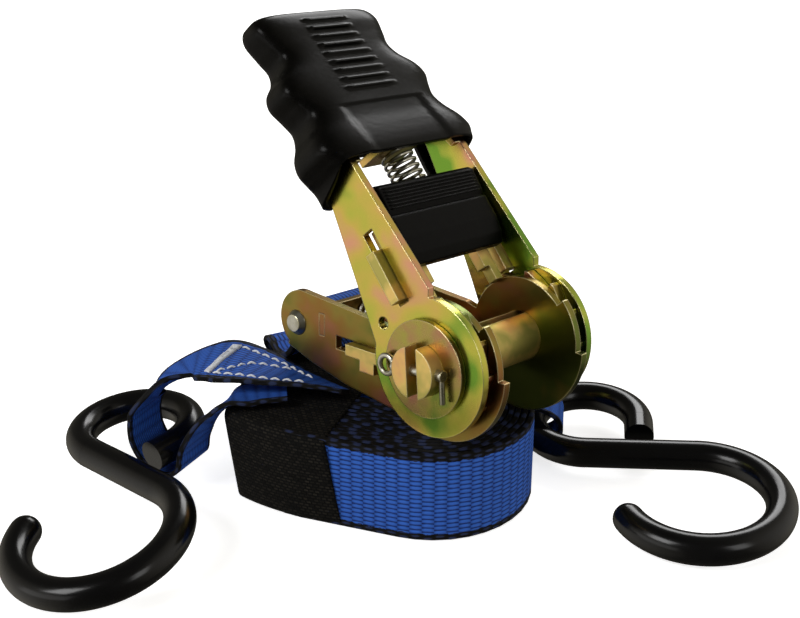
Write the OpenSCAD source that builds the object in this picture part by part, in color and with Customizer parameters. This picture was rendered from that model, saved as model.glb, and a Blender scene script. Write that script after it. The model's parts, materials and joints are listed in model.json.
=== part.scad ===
// Ratchet tie-down strap. A webbing strap is wound in a coil on its edge and held by an elastic
// band, with its sewn end looped through an S-hook. A ratchet buckle rests on the coil, and its
// short strap runs down behind the coil to a second S-hook.
// Lengths are in millimetres. The floor is z = 0, and the coil's long axis lies along x.

/* [Webbing] */
// Width of the webbing
web_w = 25.4; // [22:0.2:28]
// Thickness of the webbing
web_t = 1.3; // [1:0.05:1.5]
// Clear gap between neighbouring turns of the coil
turn_gap = 0.48; // [0.45:0.01:0.7]
// Turns in the coil
coil_turns = 14; // [6:1:16]
// Straight run along each side of the coil
coil_straight = 26.6; // [18:0.2:32]
// Radius of the coil's innermost turn
coil_core_r = 2.3; // [2:0.1:4]

/* [Elastic band] */
// Width of the band
band_w = 30; // [20:0.5:32]
// Thickness of the band
band_t = 1; // [0.8:0.1:1.4]

/* [S-hooks] */
// Diameter of the steel wire
wire_d = 6; // [5:0.1:6.2]
// Thickness of the vinyl coating
vinyl_t = 1.1; // [0.8:0.1:1.3]
// Radius of the open hook at the wire's centre
throat_r = 20.6; // [19:0.1:24]
// Sweep of the open hook
throat_sweep = 244; // [230:1:256]
// Straight shank between the two bends
shank_len = 29.7; // [26:0.1:36]
// Radius of the closed eye at the wire's centre
eye_r = 14.9; // [14.4:0.1:16]
// Clear gap where the closed eye comes round to the shank
eye_gap = 0.5; // [0.4:0.1:1]

/* [Buckle plates] */
// Thickness of the base and handle plates
plate_t = 2; // [1.6:0.1:2.4]
// Room on each side of the webbing between the base plates
web_side_room = 1.5; // [1:0.1:2]
// Distance from the anchor rivet to the mandrel
base_len = 51.5; // [50:0.5:58]
// Radius of the base plates round the mandrel
base_disc_r = 19.8; // [19.4:0.1:21]
// Radius of the base plates' cam under the working stroke
cam_r = 15.5; // [14:0.1:16]
// Radius of the base plates' cam in the release stroke
release_r = 17.8; // [17.2:0.1:18.4]
// Radius of the base plates round the anchor rivet
base_end_r = 8.4; // [7:0.1:9]
// Diameter of the anchor rivet's shank
rivet_d = 5; // [4:0.1:6]
// Diameter of the anchor rivet between the plates
rivet_body_d = 6; // [5.4:0.1:7]
// Diameter of the anchor rivet's heads
rivet_head_d = 7; // [6.6:0.1:9]

/* [Mandrel] */
// Diameter over the two half-round pins
mandrel_d = 13; // [11:0.1:14]
// Webbing slot between the half-round pins
mandrel_slot = 3.4; // [3:0.1:4]
// Radius of the ratchet wheels over their teeth
wheel_r = 16.6; // [16:0.1:17.2]
// Depth of the ratchet teeth
tooth_depth = 2.6; // [2:0.1:3]
// Number of ratchet teeth
tooth_count = 12; // [10:1:14]
// Thickness of the ratchet wheels
wheel_t = 2.6; // [2.2:0.1:3]
// Radius of the outer washers
washer_r = 12.2; // [10.5:0.1:13]
// Thickness of the outer washers
washer_t = 1.5; // [1:0.1:2]
// Diameter of the cotter pins
cotter_d = 2.8; // [2.4:0.1:3]

/* [Handle] */
// Angle of the handle above the base
handle_angle = 50.5; // [30:0.5:90]
// Radius of the handle plates round the mandrel
handle_disc_r = 17.5; // [17:0.1:18.5]
// Distance from the mandrel to the handle's end
handle_len = 100; // [96:0.5:106]
// Distance from the mandrel to the grip's lower edge
grip_start = 47; // [46:0.5:50]
// Half width of the grip at its widest finger bump
grip_half_w = 27.4; // [27:0.2:30]
// Depth of the finger valleys in the grip's sides
grip_wave = 4.4; // [3:0.1:5]

/* [Pawls] */
// Thickness of the pawl plates
pawl_t = 3; // [2.4:0.1:3.2]
// Travel of each pawl clear of the teeth
pawl_travel = 5; // [3:0.5:5]
// Gap from the resting pawls to the tooth tips
pawl_gap = 0.3; // [0.25:0.05:0.5]
// Diameter of the spring wire
spring_wire = 0.9; // [0.7:0.05:1]

/* [Hidden] */
$fn = 64;

// Clearances
run_gap = 0.05;     // running fit on the mandrel
side_gap = 0.2;     // plates and wheels, side by side
slide_gap = 0.3;    // pawls in their slots
rest_gap = 0.3;     // buckle above the coil

// Colours
blue = [0.10, 0.25, 0.62];
black = [0.07, 0.07, 0.07];
zinc = [0.72, 0.62, 0.32];

// Stack of the buckle along the mandrel, from the middle outwards
base_in = web_w / 2 + web_side_room;
base_out = base_in + plate_t;
wheel_in = base_out + side_gap;
wheel_out = wheel_in + wheel_t;
handle_in = wheel_out + side_gap;
handle_out = handle_in + plate_t;
washer_in = handle_out + side_gap;
washer_out = washer_in + washer_t;
cotter_y = washer_out + side_gap + cotter_d / 2;
mandrel_end = cotter_y + cotter_d / 2 + 1.1;
mandrel_r = mandrel_d / 2;
mandrel_turn = -5;

// Coil
turn_pitch = web_t + turn_gap;
ring_count = 24;
coil_r = coil_core_r + turn_pitch * coil_turns;
coil_half = coil_straight / 2;
coil_centre = [8.5, 0, 0];
coil_cover_r = coil_r + web_t / 2;
band_shift = -19.2;
band_lean = -10;
// The band's front and back bow out in a wide arc, so its left edge stands off the coil's round end
band_mid = -11.5;
band_bow_r = 57;

// Where the buckle sits: its lowest disc edge is just above the coil
buckle_turn = [-6.15, -4.67, -23.61];
buckle_plan = [37.77, -6.27];
tilt_row = [-sin(buckle_turn[1]),
            cos(buckle_turn[1]) * sin(buckle_turn[0]),
            cos(buckle_turn[1]) * cos(buckle_turn[0])];
disc_drop = base_disc_r * sqrt(pow(tilt_row[0], 2) + pow(tilt_row[2], 2)) + base_out * abs(tilt_row[1]);
buckle_at = [buckle_plan[0], buckle_plan[1], web_w + rest_gap + disc_drop];
bolt = [-base_len, 0, -1.5];

// Pawl places, measured from the mandrel
tooth_reach = wheel_r + pawl_gap;
pawl_f = 1.5;                       // handle pawl's rear face
slot_f = pawl_f + pawl_t / 2;
ear_len = 13.6;
ear_h = tooth_reach;
ear_out = handle_out + 2.8;
pawl_top = 44;
pull_t = 4.8;
base_pawl_z = -3.5;
base_ear_len = 13.7;
base_ear_out = wheel_out - 0.2;
base_pawl_back = 31;
seat_h = 5;
spring_bar_inset = 9.5;
spring_bar_x = spring_bar_inset - base_len;
spring_bar_t = 2;
spring_tab_h = 55;

// S-hooks
hook_r = wire_d / 2 + vinyl_t;
leg_len = eye_r - 2 * hook_r - eye_gap;
left_eye_twist = -8;
right_eye_twist = 0;
left_hook_at = [-62.9, -32.26, 11.05];
left_hook_turn = [11.45, -3.18, -23.28];
right_hook_at = [59.71, 20.6, 5.98];
right_hook_turn = [3.37, -2.37, 12.44];

// Turns a vector as rotate() does
function turned(v, t) =
    let (a = [v[0], v[1] * cos(t[0]) - v[2] * sin(t[0]), v[1] * sin(t[0]) + v[2] * cos(t[0])])
    let (b = [a[0] * cos(t[1]) + a[2] * sin(t[1]), a[1], a[2] * cos(t[1]) - a[0] * sin(t[1])])
    [b[0] * cos(t[2]) - b[1] * sin(t[2]), b[0] * sin(t[2]) + b[1] * cos(t[2]), b[2]];
function on_buckle(p) = turned(p, buckle_turn) + buckle_at;
function on_left_hook(p) = turned(p, left_hook_turn) + left_hook_at;
function on_left_eye(p) = on_left_hook(turned(p, [left_eye_twist, 0, 0]));
function on_right_hook(p) = turned(p, right_hook_turn) + right_hook_at;
function unit(v) = v / norm(v);
function square_to(w, t) = unit(w - t * (w * t));

module at_buckle() { translate(buckle_at) rotate(buckle_turn) children(); }
module at_handle() { at_buckle() rotate([0, handle_angle, 0]) children(); }
module at_left_hook() { translate(left_hook_at) rotate(left_hook_turn) children(); }
module at_right_hook() { translate(right_hook_at) rotate(right_hook_turn) children(); }

// A flat outline in x and z, made a plate from one y to another
module plate(y_from, y_to) {
    translate([0, y_to, 0]) rotate([90, 0, 0]) linear_extrude(y_to - y_from) children();
}
// The near side is negative y, the far side positive y
module side_plate(side, y_in, y_out) {
    if (side < 0) plate(-y_out, -y_in) children();
    else plate(y_in, y_out) children();
}
module pie(from, to, reach = 60) {
    steps = ceil((to - from) / 60);
    polygon(concat([[0, 0]], [for (i = [0:steps]) let (a = from + (to - from) * i / steps)
        reach * [cos(a), sin(a)]]));
}
module slot_hole(x_from, x_to, y_from, y_to) {
    translate([x_from, y_from]) square([x_to - x_from, y_to - y_from]);
}

// Smooth run through hand-set points
function spline_at(q, i, u) =
    let (n = len(q) - 1)
    let (a = q[max(i - 1, 0)], b = q[i], c = q[min(i + 1, n)], d = q[min(i + 2, n)])
    0.5 * (2 * b + u * (c - a) + u * u * (2 * a - 5 * b + 4 * c - d)
           + u * u * u * (3 * b - a - 3 * c + d));
function smooth_run(q, k) =
    [for (i = [0:len(q) - 2], j = [0:k - 1]) spline_at(q, i, j / k), q[len(q) - 1]];
function place_of(p) = [p[0], p[1], p[2]];
function across_of(p) = [p[3], p[4], p[5]];

// A flat strip swept along a run of points, each a place, a width direction and a width
module strip(run, t) {
    n = len(run);
    rings = [for (i = [0:n - 1])
        let (along = unit(place_of(run[min(i + 1, n - 1)]) - place_of(run[max(i - 1, 0)])))
        let (across = square_to(across_of(run[i]), along))
        let (up = cross(along, across))
        for (c = [[-1, -1], [1, -1], [1, 1], [-1, 1]])
            place_of(run[i]) + across * c[0] * run[i][6] / 2 + up * c[1] * t / 2];
    faces = concat(
        [[0, 1, 2], [0, 2, 3]],
        [for (i = [0:n - 2], k = [0:3])
            let (a = 4 * i + k, b = 4 * i + (k + 1) % 4)
            each [[a, a + 4, b], [b, a + 4, b + 4]]],
        [[4 * n - 4, 4 * n - 2, 4 * n - 3], [4 * n - 4, 4 * n - 1, 4 * n - 2]]);
    polyhedron(rings, faces);
}

// Coil of webbing standing on its edge: one strip wound on straight sides and round ends
function coil_angle(i) =
    let (k = i % ring_count, half = ring_count / 2)
    (k < half ? 90 : -90) + (k % half) * 180 / (half - 1);
function coil_point(i, offset) =
    let (a = coil_angle(i), k = i % ring_count)
    let (r = coil_core_r + turn_pitch * i / ring_count + offset)
    [(k < ring_count / 2 ? -coil_half : coil_half) + r * cos(a), r * sin(a)];
coil_last = ring_count * coil_turns - 1;
coil_line = [for (i = [0:coil_last]) coil_point(i, 0)];
// Least clear gap between one turn and the next, measured square to the strip
coil_self_gap = min([for (i = [0:coil_last - ring_count])
    let (a = coil_line[i], b = coil_line[i + ring_count], c = coil_line[min(i + ring_count + 1, coil_last)])
    let (side = unit(c - b))
    abs(cross(side, a - b))]) - web_t;
echo(coil_self_gap_mm = coil_self_gap);

module coil_cover(extra) {
    for (x = [-coil_half, coil_half]) translate([x, 0]) circle(coil_cover_r + extra);
    translate([-coil_half, -coil_cover_r - extra]) square([coil_straight, 2 * (coil_cover_r + extra)]);
}
module band_slab(extra) {
    translate([band_shift, 0, web_w / 2]) rotate([0, band_lean, 0])
        cube([band_w + 2 * extra, 4 * coil_r, 3 * web_w], center = true);
}
module long_strap_coil() {
    color(blue) translate(coil_centre) difference() {
        linear_extrude(web_w) polygon(concat(
            [for (i = [0:coil_last]) coil_point(i, web_t / 2)],
            [for (i = [coil_last:-1:0]) coil_point(i, -web_t / 2)]));
        intersection() {
            band_slab(0);
            for (z = [-1, web_w - band_t])
                translate([-2 * coil_r, -2 * coil_r, z]) cube([4 * coil_r, 4 * coil_r, band_t + 1]);
        }
    }
}
module band_plan(inset) {
    front = coil_cover_r + 0.1 - turn_pitch / 2 + band_t;
    intersection() {
        translate([band_mid, band_bow_r - front]) circle(band_bow_r - inset);
        translate([band_mid, front - band_bow_r]) circle(band_bow_r - inset);
    }
}
module coil_band() {
    color(black) translate(coil_centre) intersection() {
        band_slab(0);
        difference() {
            linear_extrude(web_w) band_plan(0);
            translate([0, 0, band_t]) linear_extrude(web_w - 2 * band_t) band_plan(band_t);
        }
    }
}

// Sewn end of the long strap: out of the coil's middle, flat over the coil, round the left hook's
// eye and back under itself. Each point is a place, a width direction and a width
loop_angle = 12;
loop_mid = on_left_eye([eye_r * cos(loop_angle), eye_r * (1 + sin(loop_angle)), 0]);
loop_across = on_left_eye([-sin(loop_angle), cos(loop_angle), 0]) - left_hook_at;
loop_left = -unit(cross(loop_across, [0, 0, 1]));
function by_leg(left, rise, w) = concat(loop_mid + left * loop_left + [0, 0, rise], loop_across, w);
narrow_w = 13.5;
long_end_route = [
    [0.3, -6.9, 28.2, -0.48, 0.8, -0.37, 7],
    [-8.2, -6.6, 29, -0.11, 0.93, -0.34, 13],
    [-18.7, -6.1, 29.7, 0.02, 0.98, -0.21, 20],
    [-28.7, -5.8, 30.7, 0.06, 0.99, -0.12, web_w],
    [-37.6, -6.9, 31, 0.04, 1, -0.02, web_w],
    [-45.3, -10.5, 28.4, -0.08, 1, 0.01, 20],
    by_leg(7.5, 12, 15),
    by_leg(11, 6.4, narrow_w),
    by_leg(11, -0.6, narrow_w),
    by_leg(7, -6, narrow_w),
    by_leg(0.5, -7.2, narrow_w),
    by_leg(-4, -4.6, narrow_w),
    by_leg(-5.3, 0.4, narrow_w),
    by_leg(-7.8, 5.6, narrow_w),
    [-34, -14, 23, -0.1, 0.98, 0.03, 17],
    [-32, -8, 27.6, 0, 0.99, -0.05, 22],
    [-26.5, -6, 28.6, 0.05, 0.98, -0.14, 23],
    [-19, -6.3, 28, 0.02, 0.98, -0.21, 17]];
long_end_run = smooth_run(long_end_route, 3);
module long_strap_end() {
    color(blue) strip(long_end_run, web_t);
}

// Short strap: round the anchor rivet, down behind the coil and round the right hook's eye
rivet_wrap = rivet_body_d / 2 + web_t / 2 + 0.3;
buckle_across = turned([0, 1, 0], buckle_turn);
function by_rivet(p) = concat(on_buckle(bolt + p), buckle_across, web_w);
function below_rivet(p, across) = concat(on_buckle(bolt) + p, across, web_w);
eye_left = on_right_hook([-eye_r, eye_r, 0]);
eye_across = turned([0, 1, 0], right_hook_turn);
eye_out = turned([-1, 0, 0], right_hook_turn);
function by_eye(out, rise, w) = concat(eye_left + out * eye_out + [0, 0, rise], -eye_across, w);
short_route = concat(
    [by_rivet([8, 0, -7.4]), by_rivet([4.5, 0, -4.2])],
    [for (a = [-10:38:180]) by_rivet(rivet_wrap * [cos(a), 0, sin(a)])],
    [below_rivet([-5, 2.3, -6.4], [0.42, 0.9, -0.08]),
     below_rivet([-6.4, 2.9, -10.8], [0.43, 0.9, -0.05]),
     below_rivet([-9.8, 4.9, -13.8], [0.45, 0.89, 0]),
     below_rivet([-16.6, 11.4, -13.2], [0.43, 0.88, 0.06]),
     [-30.4, 29.8, 21, 0.25, 0.6, 0.75, web_w],
     [-31, 35.5, 16, 0.05, 0.25, 0.97, web_w],
     [-26, 41.5, 14, 0, 0.05, 1, web_w],
     [-14, 43.5, 13.6, 0, 0, 1, web_w],
     [2, 42, 13.5, 0, 0, 1, web_w],
     [15, 39, 12.8, 0.05, -0.45, 0.85, 23],
     [25, 37.4, 12.2, 0.1, -0.9, 0.35, 15.5],
     by_eye(6, 7, 11.5), by_eye(0, 8, 12.5), by_eye(-6.4, 5, 12.5), by_eye(-8, 0.6, 12.5),
     by_eye(-5.6, -4, 12.5), by_eye(1, -5.2, 12.5), by_eye(7, -3.4, 11)]);
short_run = smooth_run(short_route, 3);
module short_strap() {
    color(blue) strip(short_run, web_t);
}

// Base plate: an arm from the anchor rivet to a cam disc round the mandrel
arm_top = 4.9;
arm_points = [
    [-base_len + 2, bolt[2] + base_end_r + 0.8],
    [-cam_r, arm_top],
    [0, 0],
    [-3, -base_disc_r + 0.9],
    [-base_len * 0.33, -base_disc_r + 3.5],
    [-base_len * 0.64, -base_disc_r + 5.5],
    [-base_len + 5.5, -base_end_r - 2.9],
    [-base_len - 3.5, bolt[2] - base_end_r + 1.6]];
base_slot_from = -(tooth_reach + base_ear_len + pawl_travel + 1);
base_slot_to = -(tooth_reach - 0.8);
module base_cuts() {
    difference() { pie(-1, 44); circle(release_r); }
    difference() { pie(43, 164.5); circle(cam_r); }
    circle(mandrel_r + run_gap);
    translate([bolt[0], bolt[2]]) circle(rivet_d / 2);
    slot_hole(base_slot_from, base_slot_to,
              base_pawl_z - pawl_t / 2 - slide_gap, base_pawl_z + pawl_t / 2 + slide_gap);
    slot_hole(spring_bar_x - spring_bar_t / 2, spring_bar_x + spring_bar_t / 2, -3, 3);
}
module base_plate(side) {
    difference() {
        union() {
            side_plate(side, base_in, base_out) circle(base_disc_r);
            side_plate(side, base_in, base_out) polygon(arm_points);
            side_plate(side, base_in, base_out) translate([-base_len + 2, bolt[2] + 0.8]) circle(base_end_r);
        }
        side_plate(side, base_in - 1, base_out + 1) base_cuts();
    }
}
module near_base_plate() { color(zinc) at_buckle() base_plate(-1); }
module far_base_plate() { color(zinc) at_buckle() base_plate(1); }

module anchor_rivet() {
    head_t = 1.6;
    color("silver") at_buckle() translate([bolt[0], 0, bolt[2]]) rotate([90, 0, 0]) {
        cylinder(h = 2 * base_in, d = rivet_body_d, center = true);
        cylinder(h = 2 * base_out, d = rivet_d, center = true);
        for (s = [-1, 1]) translate([0, 0, s * (base_out + head_t / 2)])
            cylinder(h = head_t, d1 = rivet_head_d - (s > 0 ? 0 : 2.4),
                     d2 = rivet_head_d - (s > 0 ? 2.4 : 0), center = true);
    }
}

// Bar that keeps the base plates apart and backs the base pawl's spring
module spring_bar() {
    color(zinc) at_buckle() translate([spring_bar_x, 0, 0]) {
        cube([spring_bar_t, 2 * base_in, 10], center = true);
        cube([spring_bar_t, 2 * base_out, 6], center = true);
    }
}

// Base pawl: a plate across the base whose ears pass out to both ratchet wheels
module base_pawl_side(s) {
    y_from = s < 0 ? -base_ear_out : 0;
    translate([-(tooth_reach + base_ear_len), y_from, base_pawl_z - pawl_t / 2])
        cube([base_ear_len, base_ear_out, pawl_t]);
    y_lug = s < 0 ? -base_ear_out : base_out + side_gap;
    translate([-(tooth_reach + 8.5), y_lug, base_pawl_z - pawl_t / 2 - 3])
        cube([5, base_ear_out - base_out - side_gap, 3.5]);
}
module base_pawl() {
    color(zinc) at_buckle() difference() {
        union() {
            for (s = [-1, 1]) base_pawl_side(s);
            translate([-base_pawl_back - 1, -9, base_pawl_z - pawl_t / 2])
                cube([2, 18, pawl_t / 2 - base_pawl_z + seat_h]);
        }
        translate([-tooth_reach - 6, -base_in + 1.4, -20]) cube([20, 2 * base_in - 2.8, 40]);
    }
}

// Coil spring along x, as one round wire swept in a helix with flat end turns
function helix(r, length, curls, i) =
    let (a = 45 * i, u = i / (8 * curls))
    [length * u, r * cos(a), r * sin(a)];
module coil_spring(r, length, curls) {
    count = 8 * curls;
    line = [for (i = [0:count]) helix(r, length, curls, i)];
    sides = 6;
    rings = [for (i = [0:count])
        let (along = unit(line[min(i + 1, count)] - line[max(i - 1, 0)]))
        let (out = square_to([0, cos(45 * i), sin(45 * i)], along))
        let (up = cross(along, out))
        for (k = [0:sides - 1])
            line[i] + spring_wire / 2 * (out * cos(360 * k / sides) + up * sin(360 * k / sides))];
    last = sides * count;
    faces = concat(
        [for (k = [1:sides - 2]) [0, k, k + 1]],
        [for (i = [0:count - 1], k = [0:sides - 1])
            let (a = sides * i + k, b = sides * i + (k + 1) % sides)
            each [[a, a + sides, b], [b, a + sides, b + sides]]],
        [for (k = [1:sides - 2]) [last, last + k + 1, last + k]]);
    polyhedron(rings, faces);
}
function spring_gap(r, length, curls) =
    min([for (i = [0:8 * curls - 8])
        norm(helix(r, length, curls, i) - helix(r, length, curls, i + 8))]) - spring_wire;
base_spring_from = spring_bar_x + spring_bar_t / 2 + spring_wire / 2 + 0.05;
base_spring_len = -base_pawl_back - 1 - spring_wire / 2 - 0.05 - base_spring_from;
spring_r = 4;
base_spring_curls = 4;
handle_spring_curls = 5;
echo(base_spring_gap_mm = spring_gap(spring_r, base_spring_len, base_spring_curls));
module base_pawl_spring() {
    color("silver") at_buckle() translate([base_spring_from, 0, 0])
        coil_spring(spring_r, base_spring_len, base_spring_curls);
}

// Mandrel: two half-round pins with the webbing slot between them
module half_round(extra) {
    intersection() {
        circle(mandrel_r + extra);
        translate([mandrel_slot / 2 - extra, -mandrel_d]) square(2 * mandrel_d);
    }
}
module half_pin() {
    difference() {
        plate(-mandrel_end, mandrel_end) half_round(0);
        for (s = [-1, 1]) translate([0, s * cotter_y, 0]) rotate([0, 90, 0])
            cylinder(h = mandrel_d, d = cotter_d);
    }
}
module at_mandrel() { at_buckle() rotate([0, mandrel_turn, 0]) children(); }
module front_mandrel_half() { color(zinc) at_mandrel() half_pin(); }
module rear_mandrel_half() { color(zinc) at_mandrel() rotate([0, 180, 0]) half_pin(); }

key_gap = 0.03;
module keyed_hole() {
    half_round(key_gap);
    rotate(180) half_round(key_gap);
}
module wheel_outline() {
    root_r = wheel_r - tooth_depth;
    step = 360 / tooth_count;
    difference() {
        polygon([for (i = [0:tooth_count - 1]) let (a = i * step)
            each [root_r * [cos(a), sin(a)],
                  (root_r + wheel_r) / 2 * [cos(a + 0.5 * step), sin(a + 0.5 * step)],
                  wheel_r * [cos(a + 0.85 * step), sin(a + 0.85 * step)],
                  wheel_r * [cos(a + step - 1), sin(a + step - 1)]]]);
        keyed_hole();
    }
}
module near_ratchet_wheel() { color(zinc) at_mandrel() side_plate(-1, wheel_in, wheel_out) wheel_outline(); }
module far_ratchet_wheel() { color(zinc) at_mandrel() side_plate(1, wheel_in, wheel_out) wheel_outline(); }

module washer_outline() {
    difference() {
        circle(washer_r);
        keyed_hole();
    }
}
module near_washer() { color(zinc) at_mandrel() side_plate(-1, washer_in, washer_out) washer_outline(); }
module far_washer() { color(zinc) at_mandrel() side_plate(1, washer_in, washer_out) washer_outline(); }

// Cotter pin through both half-round pins: an eye at one end and one bent leg at the other
module cotter_pin() {
    reach = mandrel_r + 1.6;
    eye = 2.3;
    wire = cotter_d / 4;
    rotate([0, 90, 0]) cylinder(h = 2 * reach, d = cotter_d, center = true);
    translate([-reach - eye, 0, 0]) rotate([90, 0, 0]) rotate_extrude() translate([eye, 0]) circle(wire);
    translate([reach - wire, 0, -7]) cylinder(h = 7, r = wire);
}
module near_cotter_pin() { color("silver") at_mandrel() translate([0, -cotter_y, 0]) cotter_pin(); }
module far_cotter_pin() { color("silver") at_mandrel() translate([0, cotter_y, 0]) cotter_pin(); }

// Handle, drawn folded down on the base: its length runs to negative x, its outer face is up
web_from = 52.5;
channel_end = handle_len - 23;
front_low = 9;
front_mid = 4.5;
front_end = 2;
back_low = -3.9;
back_end = -2;
web_mid = (web_from + channel_end) / 2;
channel_points = [
    [-handle_disc_r + 2, handle_disc_r - 5.2],
    [-web_from, front_low],
    [-web_mid, front_mid],
    [-channel_end, front_end],
    [-channel_end, back_end],
    [-web_from - 5, back_end],
    [-grip_start, back_low],
    [-21, -10],
    [-handle_disc_r + 5, -handle_disc_r + 5.3],
    [0, 0]];
slot_h_from = ear_h - 0.8;
slot_h_to = ear_h + ear_len + pawl_travel + 0.6;
module handle_outline() {
    difference() {
        union() {
            circle(handle_disc_r);
            polygon(channel_points);
        }
        circle(mandrel_r + run_gap);
        slot_hole(-slot_h_to, -slot_h_from, pawl_f - slide_gap, pawl_f + pawl_t + slide_gap);
        translate([-15.5, -6.5]) circle(1.6);
    }
}
function front_at(h) = front_low + (front_mid - front_low) * (h - web_from) / (web_mid - web_from);
module web_outline() {
    polygon([[-web_from, front_low], [-web_mid, front_mid], [-channel_end, front_end],
             [-channel_end, front_end - plate_t], [-web_mid, front_mid - plate_t],
             [-web_from, front_low - plate_t]]);
}
module handle_frame() {
    window_y = [7, handle_in - 1.8];
    color(zinc) at_handle() {
        for (s = [-1, 1]) side_plate(s, handle_in, handle_out) handle_outline();
        difference() {
            plate(-handle_in, handle_in) web_outline();
            for (s = [-1, 1]) translate([-61, s > 0 ? window_y[0] : -window_y[1], 0])
                cube([12, window_y[1] - window_y[0], 20]);
            // Room for the spring in front of its tab
            translate([-spring_tab_h, -window_y[0] - 1, 0]) cube([12, 2 * window_y[0] + 2, 20]);
        }
        translate([-spring_tab_h - plate_t, -window_y[0], -2])
            cube([plate_t, 2 * window_y[0], front_at(spring_tab_h + plate_t) + 1]);
    }
}

// Rubber grip: a sleeve over the handle's end with finger bumps on each side, as rounded sections
// along the handle. Each section is a place, half width, front, widest line, back and squareness
valley = grip_half_w - grip_wave;
grip_route = [
    [grip_start - 1, grip_half_w - 3.4, 12.2, 0.5, -7, 6],
    [51, grip_half_w - 3.2, 12.4, 0.9, -7, 6],
    [54, grip_half_w - 2, 12.2, 1.2, -7, 4.4],
    [57, grip_half_w, 11.6, 1.4, -6.8, 3.4],
    [61, grip_half_w - 1.6, 10.6, 1, -6.6, 3],
    [66, valley, 9.3, 0.5, -6.5, 3],
    [70, valley + 1.4, 8.4, 0.2, -6.5, 3],
    [74.5, grip_half_w - 1.8, 7.6, -0.1, -6.6, 3],
    [79, valley, 6.9, -0.5, -6.8, 3],
    [84, valley - 2, 6, -1.1, -7, 3],
    [91, valley - 0.6, 5, -1.9, -7.2, 3],
    [handle_len - 4, valley + 0.4, 4.2, -2.5, -7.4, 3],
    [handle_len - 1.2, valley - 0.8, 3.2, -2.8, -7, 3],
    [handle_len, valley - 3.4, 1.4, -2.9, -6.2, 3]];
grip_run = smooth_run(grip_route, 2);
grip_sides = 32;
function round_part(c, power) = sign(c) * pow(abs(c), 2 / power);
module grip_body() {
    n = len(grip_run);
    rings = [for (g = grip_run, k = [0:grip_sides - 1])
        let (a = 360 * (k + 0.5) / grip_sides, s = sin(a))
        let (power = g[5], depth = s > 0 ? g[2] - g[3] : g[3] - g[4])
        [-g[0], g[1] * round_part(cos(a), power), g[3] + depth * round_part(s, power)]];
    last = grip_sides * (n - 1);
    faces = concat(
        [for (k = [1:grip_sides - 2]) [0, k + 1, k]],
        [for (i = [0:n - 2], k = [0:grip_sides - 1])
            let (a = grip_sides * i + k, b = grip_sides * i + (k + 1) % grip_sides)
            each [[a, b, a + grip_sides], [b, b + grip_sides, a + grip_sides]]],
        [for (k = [1:grip_sides - 2]) [last, last + k, last + k + 1]]);
    polyhedron(rings, faces);
}
module grip_pocket() {
    plate(-handle_out, handle_out)
        polygon([[-grip_start + 3, back_low - 0.3], [-grip_start, back_low], [-web_from - 5, back_end],
                 [-channel_end, back_end], [-channel_end, front_end], [-web_mid, front_mid],
                 [-web_from, front_low], [-grip_start + 3, front_low + 0.6]]);
    translate([-grip_start - 13, -handle_in, -20]) cube([20, 2 * handle_in, 20 + back_low + 1]);
    // The lower rim slants: the front of the grip starts above its back
    translate([-grip_start, 0, -7.5]) rotate([0, -18, 0]) translate([0, -40, -5]) cube([20, 80, 40]);
}
module handle_grip() {
    color(black) at_handle() difference() {
        grip_body();
        grip_pocket();
    }
}

// Handle pawl: a plate across the handle, with ears out through the slots and fingers to the wheels
module handle_pawl() {
    finger_in = wheel_in + 0.2;
    tab_out = base_in - 0.4;
    tab_in = 9.6;
    body_from = 27;
    color(zinc) at_handle() translate([0, 0, pawl_f]) linear_extrude(pawl_t) {
        slot_hole(-36, -body_from, -handle_in + 0.5, handle_in - 0.5);
        slot_hole(-pawl_top, -36, -12, 12);
        for (s = [-1, 1]) {
            slot_hole(-(ear_h + ear_len), -ear_h, s > 0 ? finger_in : -ear_out, s > 0 ? ear_out : -finger_in);
            slot_hole(-body_from, -19, s > 0 ? tab_in : -tab_out, s > 0 ? tab_out : -tab_in);
            slot_hole(-19, -15, s > 0 ? tab_in + 1.8 : -tab_out, s > 0 ? tab_out : -tab_in - 1.8);
        }
    }
}

// Release pull: a moulded finger bar on the front of the pawl and over its upper edge
module release_pull() {
    front = pawl_f + pawl_t;
    half = handle_in - 1.6;
    color(black) at_handle() plate(-half, half)
        polygon([[-23.5, front], [-23.5, front + 2.4], [-26, front + 4], [-30, front + pull_t],
                 [-36.2, front + pull_t], [-36.8, front + pull_t - 0.8], [-38, front + pull_t],
                 [-44, front + pull_t + 0.4], [-45.2, front + pull_t - 0.8], [-45.2, pawl_f],
                 [-pawl_top, pawl_f], [-pawl_top, front]]);
}

handle_spring_from = -spring_tab_h + spring_wire / 2 + 0.05;
handle_spring_len = spring_tab_h - 45.2 - spring_wire - 0.1;
echo(handle_spring_gap_mm = spring_gap(spring_r, handle_spring_len, handle_spring_curls));
module handle_pawl_spring() {
    color("silver") at_handle() translate([handle_spring_from, 0, slot_f + 1])
        coil_spring(spring_r, handle_spring_len, handle_spring_curls);
}

// S-hook wire: an open hook, a shank and a closed eye, lying flat with the shank along x. The
// straight runs are a hair thinner than the bends and start just inside them
neck = 0.02;
module hook_arc(centre, radius, from, to, r) {
    translate(centre) rotate([0, 0, from]) rotate_extrude(angle = to - from) translate([radius, 0]) circle(r);
}
tip_angle = 90 - throat_sweep;
module hook_line(r, twist, past = 0) {
    hook_arc([shank_len, -throat_r, 0], throat_r, tip_angle, 90, r);
    translate([-0.5, 0, 0]) rotate([0, 90, 0]) cylinder(h = shank_len + 1, r = r - neck);
    rotate([twist, 0, 0]) {
        hook_arc([0, eye_r, 0], eye_r, 0, 270, r);
        translate([eye_r, eye_r + 0.5, 0]) rotate([90, 0, 0]) cylinder(h = leg_len + 0.5 + past, r = r - neck);
    }
}
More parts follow.
